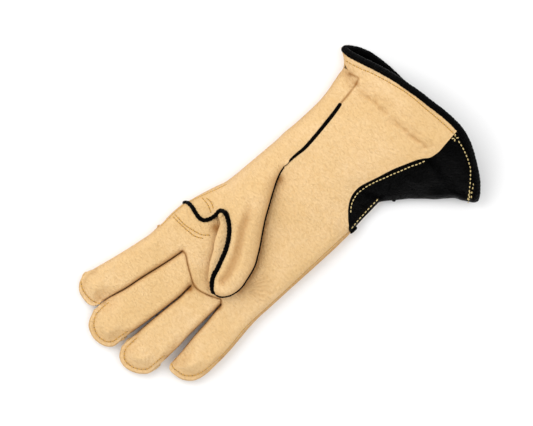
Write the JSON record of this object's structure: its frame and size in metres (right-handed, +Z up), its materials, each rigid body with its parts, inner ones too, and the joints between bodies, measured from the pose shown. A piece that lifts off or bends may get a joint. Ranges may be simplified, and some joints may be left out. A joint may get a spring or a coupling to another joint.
{
  "type": "gauntlet work glove",
  "caption": "Leather work glove for a right hand with a flared cuff, welted folded thumb, dark side gusset and bound rim, lying palm up",
  "frame": {"origin": "middle of the outline, on the surface that the glove lies on", "axes": "+Y from the fingertips to the cuff, +X from the thumb side to the little-finger side, +Z up, out of the palm"},
  "size_m": [0.169, 0.3248, 0.0481],
  "materials": {
    "hide": "natural grain deerskin, soft satin",
    "dark_leather": "dyed split leather, matt",
    "dark_trim": "dyed smooth leather, low sheen"
  },
  "bodies": {
    "root": {"palm": "hide", "middle_front": "hide", "ring_front": "hide", "back": "hide", "side_panel": "hide", "thumb_front": "hide", "fourchette_index_middle": "hide", "fourchette_middle_ring": "hide", "fourchette_ring_little": "hide", "thumb_welt": "dark_trim", "gusset": "dark_leather", "gusset_tab": "dark_trim", "facing_front": "dark_leather", "facing_back": "dark_leather", "cuff_binding": "dark_trim"}
  },
  "joints": []
}
